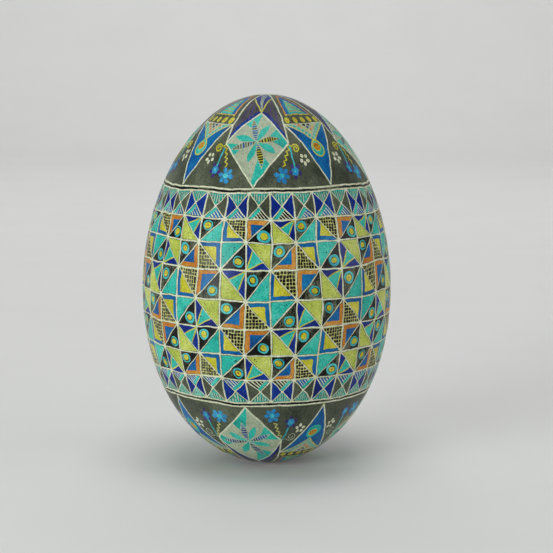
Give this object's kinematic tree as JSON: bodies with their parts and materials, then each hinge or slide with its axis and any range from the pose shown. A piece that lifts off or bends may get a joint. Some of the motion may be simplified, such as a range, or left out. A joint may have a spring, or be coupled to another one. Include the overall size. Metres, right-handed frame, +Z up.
{
  "type": "decorated egg",
  "caption": "Blown goose egg dyed in a geometric wax-resist pattern, with its lining membranes and a wax-sealed blow hole.",
  "frame": {"origin": "centre of the wax plug's flat outer face at the blunt end, the egg's lowest point", "axes": "+Z up along the egg's long axis to the pointed end; -Y is the front, where the line between a netted column and a ringed column faces the viewer"},
  "size_m": [0.0584, 0.0584, 0.087],
  "materials": {
    "dyed_shell": "dyed and varnished, satin",
    "outer_skin": "dry fibrous skin",
    "inner_skin": "dry fibrous skin",
    "beeswax": "satin wax"
  },
  "bodies": {
    "root": {"eggshell": "dyed_shell", "outer_membrane": "outer_skin", "inner_membrane": "inner_skin", "wax_plug": "beeswax"}
  },
  "joints": []
}
